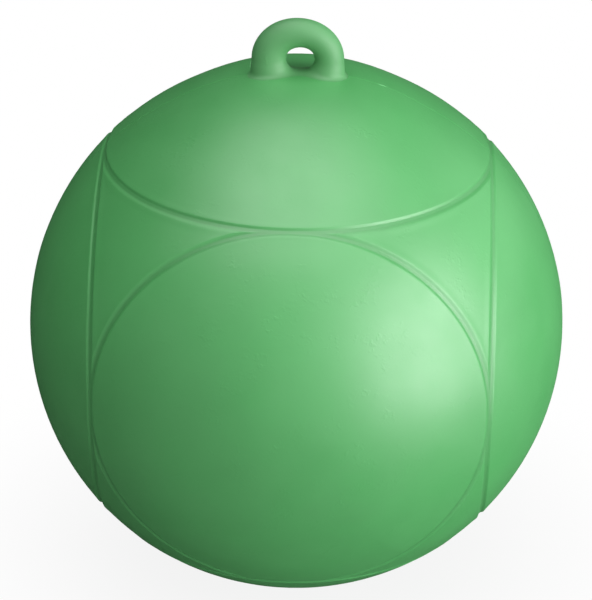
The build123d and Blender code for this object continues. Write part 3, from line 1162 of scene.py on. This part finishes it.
class SeamOperator(bpy.types.Operator):
    """Runs the mould's flash line around the ball, over the rope eye and around its hole"""

    bl_idname = "buoy.mould_seam"
    bl_label = "Mould seam"

    OUTSIDE = 0.01  # where the search for the surface starts, outside the eye's top
    SEARCH_STEPS = 120
    SEARCH_SHARE = 0.8  # how much of the distance to the surface each step takes
    EYE_REACH = math.radians(20)  # the eye and its feet lie within this angle from the top
    FADE = (math.radians(25), math.radians(75))  # the line fades between these angles from the top
    FAINT = 0.3  # what is left of it past there
    FIN = (0.1160, 0.1210)  # heights between which a bit of flash is left on the left leg, raised and painted paler as painted light
    NICK = (math.radians(16.2), math.radians(18.6))  # a proud bit by the right foot, from the top, raised and painted paler as a painted glint
    NICK_RISE = 3.0
    SAMPLES = 6000
    BEAD_COLUMNS = 8

    def around_ball(self, scene):
        """Points of the parting line around the ball and the eye, and its strength at each."""
        lean = np.linspace(-math.pi, math.pi, self.SAMPLES, endpoint=False)
        ball, eye, seam = scene.buoy_ball, scene.buoy_eye, scene.buoy_seam
        x, y, z = np.sin(lean), np.zeros_like(lean), np.cos(lean)
        nearest = np.maximum(np.abs(x), np.abs(z))
        distance = np.abs(np.arccos(nearest) - RING_ANGLE) * BALL_RADIUS
        crown = BALL_RADIUS + ball.crest_height + crown_lift(np.abs(lean), ball)
        reach = np.full_like(lean, EYE_TOP + self.OUTSIDE)
        for _ in range(self.SEARCH_STEPS):
            reach -= self.SEARCH_SHARE * crown_distance(reach * x, y, reach * z, eye, ball)
        on_eye = (np.abs(lean) < self.EYE_REACH) & (reach > crown)
        reach = np.where(on_eye, reach, crown - groove_drop(distance, z, ball))
        strength = 1 - (1 - self.FAINT) * ease(np.abs(lean), *self.FADE)
        # A strength over one also paints the line paler as painted light, most at the nick and the fin
        strength += self.NICK_RISE * hump(lean, *self.NICK)
        fin = seam.fin_height / seam.height - 1
        strength += fin * hump(reach * z, *self.FIN) * (on_eye & (x < 0))
        return np.stack([reach * x, y, reach * z], axis=1), strength

    def around_hole(self, scene):
        """Points of the parting line around the rope hole, and its strength at each."""
        seam = scene.buoy_seam
        turn = np.linspace(0, 2 * math.pi, self.SAMPLES, endpoint=False)
        side, rise = np.sin(turn), np.cos(turn)
        reach = hole_reach(side, rise, scene.buoy_eye)
        # The hole's prouder flash is also painted paler, as painted light
        strength = np.full_like(turn, seam.hole_height / seam.height)
        return np.stack([reach * side, np.zeros_like(side), HOLE_HEIGHT + reach * rise], axis=1), strength

    def even_loop(self, path, strength):
        """A closed path's points, outward directions and strengths at even spacing."""
        around = np.vstack([path, path[:1]])
        run = np.concatenate([[0], np.cumsum(np.linalg.norm(np.diff(around, axis=0), axis=1))])
        stations = np.linspace(0, run[-1], int(run[-1] / SEAM_SPACING), endpoint=False)
        points = np.stack([np.interp(stations, run, around[:, k]) for k in range(3)], axis=1)
        along = np.roll(points, -1, axis=0) - np.roll(points, 1, axis=0)
        along /= np.linalg.norm(along, axis=1)[:, None]
        outward = np.stack([-along[:, 2], along[:, 1], along[:, 0]], axis=1)
        return points, outward, np.interp(stations, run, np.append(strength, strength[0]))

    def flash_tree(self, seam, material):
        """Sweeps a round bead along the line and flattens it to the line's height there."""
        tree = ShapeTree("mould_flash_line", {
            "Width": seam.width,
            "Height": seam.height,
            "Vinyl": material,
        })
        place = tree.place()
        outward = tree.attribute("outward")
        line = tree.add("GeometryNodeMeshToCurve", {"Mesh": tree.size("Geometry")})
        half_width = tree.math("MULTIPLY", tree.size("Width"), 0.5)
        section = tree.add("GeometryNodeCurvePrimitiveCircle", {
            "Resolution": self.BEAD_COLUMNS, "Radius": half_width,
        })
        swept = tree.add("GeometryNodeCurveToMesh", {
            "Curve": tree.marked(line.outputs[0], "spine", place),
            "Profile Curve": section.outputs["Curve"],
        })
        off_spine = tree.vector_math("SUBTRACT", place, tree.attribute("spine"))
        rise = tree.add("ShaderNodeVectorMath", {0: off_spine, 1: outward}, operation="DOT_PRODUCT")
        height = tree.math("MULTIPLY", tree.size("Height"), tree.attribute("strength", "FLOAT"))
        stretch = tree.math("SUBTRACT", tree.math("DIVIDE", height, half_width), 1.0)
        further = tree.math("MULTIPLY", rise.outputs["Value"], stretch)
        drawn = tree.add("GeometryNodeSetPosition", {
            "Geometry": swept.outputs[0], "Offset": tree.scaled(outward, further),
        })
        smooth = tree.add("GeometryNodeSetShadeSmooth", {"Geometry": drawn.outputs[0]})
        tree.close(smooth.outputs[0], tree.size("Vinyl"))
        return tree

    def execute(self, context):
        scene = context.scene
        loops = [
            self.even_loop(*self.around_ball(scene)),
            self.even_loop(*self.around_hole(scene)),
        ]
        edges = []
        for points, _, _ in loops:
            first, count = len(edges), len(points)
            edges += [(first + k, first + (k + 1) % count) for k in range(count)]
        points, outward, strength = (np.concatenate(parts) for parts in zip(*loops))
        mesh = bpy.data.meshes.new("mould_seam")
        mesh.from_pydata([tuple(point) for point in points], edges, [])
        mesh.attributes.new("outward", "FLOAT_VECTOR", "POINT").data.foreach_set("vector", outward.ravel())
        mesh.attributes.new("strength", "FLOAT", "POINT").data.foreach_set("value", strength)
        piece = bpy.data.objects.new("mould_seam", mesh)
        scene.collection.objects.link(piece)
        self.flash_tree(scene.buoy_seam, flash_vinyl(scene.buoy_finish)).bake(piece)
        hand_over(piece, "buoy", "vinyl")
        return {"FINISHED"}


# Valve


def rounded_corner(before, corner, after, radius, steps=4):
    """Points of an arc of a radius in the corner of a section."""
    one = np.subtract(before, corner)
    two = np.subtract(after, corner)
    one_way = one / np.linalg.norm(one)
    two_way = two / np.linalg.norm(two)
    half = math.acos(np.clip(one_way @ two_way, -1, 1)) / 2
    back = radius / math.tan(half)
    back = min(back, np.linalg.norm(one) / 2, np.linalg.norm(two) / 2)
    centre = np.add(corner, (one_way + two_way) * back / (2 * math.cos(half) ** 2))
    start = corner + one_way * back - centre
    end = corner + two_way * back - centre
    sweep = math.pi - 2 * half
    points = []
    for k in range(steps + 1):
        share = k / steps
        weight_one = math.sin((1 - share) * sweep) / math.sin(sweep)
        weight_two = math.sin(share * sweep) / math.sin(sweep)
        points.append(centre + start * weight_one + end * weight_two)
    return points


def rounded_section(corners, radius):
    """A section of (reach, height) corners with every marked corner rounded."""
    section = []
    for k, (reach, height, is_round) in enumerate(corners):
        if not is_round or k == 0 or k == len(corners) - 1:
            section.append(np.array([reach, height]))
            continue
        before, after = corners[k - 1][:2], corners[k + 1][:2]
        section += rounded_corner(np.array(before), np.array([reach, height]), np.array(after), radius)
    return section


def turned_ring(reach, height):
    """A ring of points about +Z at a height, with one reach or with one for each point."""
    turn = TURNED_ANGLES
    return np.stack([reach * np.cos(turn), reach * np.sin(turn), np.full_like(turn, height)], axis=1)


def turned_rings(section):
    """Rings of points about +Z from a section of (reach, height)."""
    return [turned_ring(reach, height) for reach, height in section]


def thread_rings(outer, depth, low, high, runout):
    """Rings of a right-hand screw thread about +Z, from low to high, fading over the runout at its ends."""
    rings = []
    for height in np.arange(low, high, THREAD_ROW):
        phase = (height / THREAD_PITCH - TURNED_ANGLES / (2 * math.pi)) % 1
        tooth = np.clip((0.5 - np.abs(phase - 0.5)) * TOOTH_STEEPNESS - TOOTH_ROOT, 0, 1)
        fade = min(1.0, (height - low) / runout, (high - height) / runout) if runout else 1.0
        rings.append(turned_ring(outer - depth * (1 - tooth * fade), height))
    return rings


def stand_on_valve(points):
    """Points about +Z moved to the valve's own axis."""
    side = Vector((1, 0, 0))
    turn = Matrix((side, VALVE_AXIS.cross(side), VALVE_AXIS)).transposed()
    return np.asarray(points) @ np.array(turn).T


def turned_piece(name, rings, closed, material):
    """A piece from rings of points: joined end to end, or closed by a point on the axis."""
    count = TURNED_COLUMNS
    points = np.concatenate(rings)
    faces = []
    pairs = list(zip(range(len(rings)), range(1, len(rings))))
    if closed:
        pairs.append((len(rings) - 1, 0))
    for first, second in pairs:
        for k in range(count):
            after = (k + 1) % count
            faces.append((
                first * count + k, first * count + after, second * count + after, second * count + k
            ))
    if not closed:
        ends = [rings[0].mean(axis=0), rings[-1].mean(axis=0)]
        points = np.concatenate([points, ends])
        last = (len(rings) - 1) * count
        for k in range(count):
            after = (k + 1) % count
            faces.append((k, len(points) - 2, after))
            faces.append((last + k, last + after, len(points) - 1))
    piece = new_piece(name, stand_on_valve(points), faces, material)
    weld(piece, WELD_DISTANCE)
    return piece


class BushOperator(bpy.types.Operator):
    """Models the valve's flanged bush with its inner thread"""

    bl_idname = "buoy.valve_bush"
    bl_label = "Valve bush"

    def execute(self, context):
        valve = context.scene.buoy_valve
        top = HEAD_BASE + valve.head_height
        washer_base = HEAD_BASE - valve.washer_thickness
        flange_base = washer_base - valve.bush_floor
        bottom = flange_base - valve.barrel_length
        bore = valve.plug_radius + valve.thread_gap
        outside = rounded_section([
            (bore, bottom, False),
            (valve.barrel_radius, bottom, True),
            (valve.barrel_radius, flange_base, False),
            (valve.bush_radius, flange_base, True),
            (valve.bush_radius, top, True),
            (valve.counterbore_radius, top, True),
            (valve.counterbore_radius, washer_base, True),
            (bore, washer_base, False),
        ], valve.edge_radius)
        thread = thread_rings(bore, valve.thread_depth, bottom, washer_base, 0)
        lead_in = THREAD_PITCH / 3
        lowest, highest = bottom + lead_in, washer_base - lead_in
        mouth = [ring for ring in thread if lowest < ring[0, 2] < highest]
        rings = turned_rings(outside) + mouth[::-1]
        piece = turned_piece("valve_bush", rings, True, plastic_material(context.scene.buoy_finish))
        piece.data.set_sharp_from_angle(angle=CRISP_ANGLE)
        hand_over(piece, "buoy", "valve_plastic", "valve_seat")
        return {"FINISHED"}


class WasherOperator(bpy.types.Operator):
    """Models the rubber washer under the screw's head"""

    bl_idname = "buoy.valve_washer"
    bl_label = "Sealing washer"

    def execute(self, context):
        valve = context.scene.buoy_valve
        low = HEAD_BASE - valve.washer_thickness
        inner = valve.washer_bore
        outer = inner + valve.washer_width
        middle = inner + valve.washer_width / 2
        section = rounded_section([
            (middle, low, False),
            (outer, low, True),
            (outer, HEAD_BASE, True),
            (inner, HEAD_BASE, True),
            (inner, low, True),
            (middle, low, False),
        ], valve.washer_thickness / 4)
        rubber = rubber_material(context.scene.buoy_finish)
        piece = turned_piece("sealing_washer", turned_rings(section[:-1]), True, rubber)
        hand_over(piece, "washer", "washer_rubber", "valve_washer")
        return {"FINISHED"}


class ScrewOperator(bpy.types.Operator):
    """Models the slotted screw that closes the valve"""

    bl_idname = "buoy.valve_screw"
    bl_label = "Valve screw"

    # The blunt tip, as shares of the core's radius
    TIP_REACH = 0.55
    SHOULDER_REACH = 0.95
    SHOULDER_RISE = 0.12
    THREAD_START = 0.14

    def slot_cutter(self, valve, top):
        """A block across the head, for its slot."""
        size = (4 * valve.head_radius, valve.slot_width, 2 * valve.slot_depth)
        shape = bmesh.new()
        bmesh.ops.create_cube(shape, size=1.0)
        bmesh.ops.scale(shape, vec=size, verts=shape.verts)
        bmesh.ops.translate(shape, vec=(0, 0, top), verts=shape.verts)
        points = stand_on_valve([tuple(vert.co) for vert in shape.verts])
        faces = [tuple(vert.index for vert in face.verts) for face in shape.faces]
        shape.free()
        return new_piece("slot_cutter", points, faces)

    def execute(self, context):
        valve = context.scene.buoy_valve
        top = HEAD_BASE + valve.head_height
        bottom = HEAD_BASE - valve.plug_length
        core = valve.plug_radius - valve.thread_depth
        neck = HEAD_BASE - THREAD_PITCH / 2
        tip = turned_rings([
            (core * self.TIP_REACH, bottom),
            (core * self.SHOULDER_REACH, bottom + core * self.SHOULDER_RISE),
        ])
        thread = thread_rings(
            valve.plug_radius, valve.thread_depth, bottom + core * self.THREAD_START, neck, THREAD_PITCH / 2
        )
        head = rounded_section([
            (core, neck, False),
            (core, HEAD_BASE, True),
            (valve.head_radius, HEAD_BASE, True),
            (valve.head_radius, top, True),
            (valve.head_radius / 2, top, False),
        ], valve.edge_radius)
        rings = tip + thread + turned_rings(head)
        piece = turned_piece("valve_screw", rings, False, plastic_material(context.scene.buoy_finish))
        cutter = self.slot_cutter(valve, top)
        slot = piece.modifiers.new("slot", "BOOLEAN")
        slot.operation = "DIFFERENCE"
        slot.solver = "EXACT"
        slot.object = cutter
        bake(piece)
        bpy.data.objects.remove(cutter)
        piece.data.set_sharp_from_angle(angle=CRISP_ANGLE)
        hand_over(piece, "plug", "valve_plastic", "valve_plug")
        return {"FINISHED"}


# Stage


def lit_share(bench, camera_share, mirror_share):
    """How much of the white background a ray sees: one share from the camera, another in reflections."""
    path = bench.add("ShaderNodeLightPath").outputs
    mirrored = bench.math("MAXIMUM", path["Is Glossy Ray"], path["Is Transmission Ray"])
    seen = bench.math("MULTIPLY", path["Is Camera Ray"], camera_share)
    return bench.math("MAXIMUM", seen, bench.math("MULTIPLY", mirrored, mirror_share))


def towards(turn, rise):
    """Direction at an angle to the right of the front and above the horizon."""
    return Vector((
        math.sin(turn) * math.cos(rise), -math.cos(turn) * math.cos(rise), math.sin(rise)
    ))


class StageOperator(bpy.types.Operator):
    """Sets up the pale floor, the soft lamps, the white room and the camera"""

    bl_idname = "buoy.stage"
    bl_label = "Stage"

    FLOOR_HALF = 6.0
    FLOOR_TONES = (0.39, 0.41)
    SHADOW_FADE = (0.03, 0.20)  # the floor turns to plain white between these distances from the ball's foot
    SHADOW_SHARE = 0.88  # how white the floor is at the ball's foot
    MIRROR_SHARE = 0.02  # how much of the white shows in reflections
    WHITE = (1, 1, 1, 1)

    # Name, degrees to the right of the front and above the horizon, distance, width and height, mirrored
    LAMPS = (
        ("key", (58, 9), 1.3, (1.15, 1.25), True),
        ("top", (-6, 79), 1.15, (1.25, 1.25), True),
        ("front", (25, 15), 1.35, (1.2, 1.2), True),
        ("rim", (118, 22), 1.35, (0.9, 0.9), True),
        ("fill", (-36, 8), 1.35, (1.4, 1.4), False),
    )

    def lay_floor(self):
        """A floor under the ball, white to the camera apart from the ball's shadow."""
        half, level = self.FLOOR_HALF, CAD_BOX[0][2]
        corners = [(-half, -half, level), (half, -half, level), (half, half, level), (-half, half, level)]
        material = bpy.data.materials.new("pale_floor")
        bench = emptied(material)
        place = bench.object_place()
        greys = [(tone,) * 3 for tone in self.FLOOR_TONES]
        tone = bench.ramp(bench.noise(place, scale=30.0, detail=3.0), list(zip(NOISE_SPAN, greys)))
        matt = bench.add("ShaderNodeBsdfDiffuse", {"Color": tone})
        white = bench.add("ShaderNodeEmission", {"Color": self.WHITE, "Strength": 1.0})
        flat = bench.vector_math("MULTIPLY", place, (1, 1, 0))
        away = bench.add("ShaderNodeVectorMath", {0: flat}, operation="LENGTH").outputs["Value"]
        seen = bench.ease(away, *self.SHADOW_FADE, self.SHADOW_SHARE, 1.0)
        share = lit_share(bench, seen, self.MIRROR_SHARE)
        mix = bench.add("ShaderNodeMixShader", {0: share, 1: matt.outputs[0], 2: white.outputs[0]})
        bench.add("ShaderNodeOutputMaterial", {"Surface": mix.outputs[0]})
        floor = new_piece("floor", corners, [(0, 1, 2, 3)], material)
        floor.visible_shadow = False
        floor.visible_glossy = False

    def light_room(self, scene, stage):
        """Even room light, and a white background for the camera."""
        world = bpy.data.worlds.new("white_room")
        bench = emptied(world)
        share = lit_share(bench, 1.0, self.MIRROR_SHARE)
        scattered = bench.add("ShaderNodeLightPath").outputs["Is Diffuse Ray"]
        strength = bench.math("MAXIMUM", share, bench.math("MULTIPLY", scattered, stage.room_light))
        sky = bench.add("ShaderNodeBackground", {"Color": self.WHITE, "Strength": strength})
        bench.add("ShaderNodeOutputWorld", {"Surface": sky.outputs[0]})
        scene.world = world

    def hang_lamp(self, scene, name, angles, distance, size, power, mirrored):
        """A soft rectangular lamp that faces the ball, and shows in reflections if it is mirrored."""
        direction = towards(*(math.radians(angle) for angle in angles))
        lamp = bpy.data.lights.new(name, "AREA")
        lamp.shape = "RECTANGLE"
        lamp.size, lamp.size_y = size
        lamp.energy = power
        holder = bpy.data.objects.new(name, lamp)
        holder.visible_glossy = mirrored
        holder.location = direction * distance
        holder.rotation_mode = "QUATERNION"
        holder.rotation_quaternion = (-direction).to_track_quat("-Z", "Y")
        scene.collection.objects.link(holder)

    def set_camera(self, scene, stage):
        """The photograph's camera: its axis runs just above the ball's centre."""
        view = bpy.data.cameras.new("camera")
        view.lens = stage.lens
        view.sensor_width = SENSOR_SIDE
        camera = bpy.data.objects.new("camera", view)
        back = towards(stage.camera_turn, stage.camera_rise)
        camera.location = back * stage.camera_distance
        focal_pixels = stage.lens / SENSOR_SIDE * PHOTO_HEIGHT
        yaw = math.atan((BALL_CENTRE_PIXEL[0] - PHOTO_CENTRE[0]) / focal_pixels)
        pitch = math.atan((BALL_CENTRE_PIXEL[1] - PHOTO_CENTRE[1]) / focal_pixels)
        aim = (-back).to_track_quat("-Z", "Y").to_matrix()
        aim = aim @ Matrix.Rotation(stage.camera_roll, 3, "Z")
        aim = aim @ Matrix.Rotation(yaw, 3, "Y") @ Matrix.Rotation(pitch, 3, "X")
        camera.rotation_mode = "QUATERNION"
        camera.rotation_quaternion = aim.to_quaternion()
        scene.collection.objects.link(camera)
        scene.camera = camera

    def execute(self, context):
        scene = context.scene
        stage = scene.buoy_stage
        self.lay_floor()
        self.light_room(scene, stage)
        for name, angles, distance, size, mirrored in self.LAMPS:
            power = getattr(stage, f"{name}_power")
            self.hang_lamp(scene, f"{name}_lamp", angles, distance, size, power, mirrored)
        self.set_camera(scene, stage)
        scene.view_settings.view_transform = "Standard"
        return {"FINISHED"}


class BuoyPanel(bpy.types.Panel):
    """Lists the buoy's pieces and their settings"""

    bl_idname = "VIEW3D_PT_buoy"
    bl_label = "Slalom buoy"
    bl_space_type = "VIEW_3D"
    bl_region_type = "UI"
    bl_category = "Buoy"

    def draw(self, context):
        column = self.layout.column(align=True)
        for operator in OPERATORS:
            column.operator(operator.bl_idname)
        for name in SETTINGS:
            settings = getattr(context.scene, name)
            box = self.layout.box()
            for key in settings.bl_rna.properties.keys():
                if key not in ("name", "rna_type"):
                    box.prop(settings, key)


SETTINGS = {
    "buoy_ball": BallSettings,
    "buoy_eye": EyeSettings,
    "buoy_seam": SeamSettings,
    "buoy_valve": ValveSettings,
    "buoy_finish": FinishSettings,
    "buoy_stage": StageSettings,
}
OPERATORS = (
    BallOperator, EyeOperator, SeamOperator, BushOperator, WasherOperator, ScrewOperator, StageOperator
)


def register():
    """Registers the settings, the operators and the panel."""
    for name, group in SETTINGS.items():
        bpy.utils.register_class(group)
        setattr(bpy.types.Scene, name, PointerProperty(type=group))
    for kind in (*OPERATORS, BuoyPanel):
        bpy.utils.register_class(kind)


def unregister():
    """Takes back what register set up."""
    for kind in reversed((*OPERATORS, BuoyPanel)):
        bpy.utils.unregister_class(kind)
    for name, group in reversed(SETTINGS.items()):
        delattr(bpy.types.Scene, name)
        bpy.utils.unregister_class(group)


def main():
    """Builds every piece and the stage."""
    register()
    bpy.ops.buoy.ball()
    bpy.ops.buoy.rope_eye()
    bpy.ops.buoy.mould_seam()
    bpy.ops.buoy.valve_bush()
    bpy.ops.buoy.valve_washer()
    bpy.ops.buoy.valve_screw()
    bpy.ops.buoy.stage()


if __name__ == "__main__":
    main()
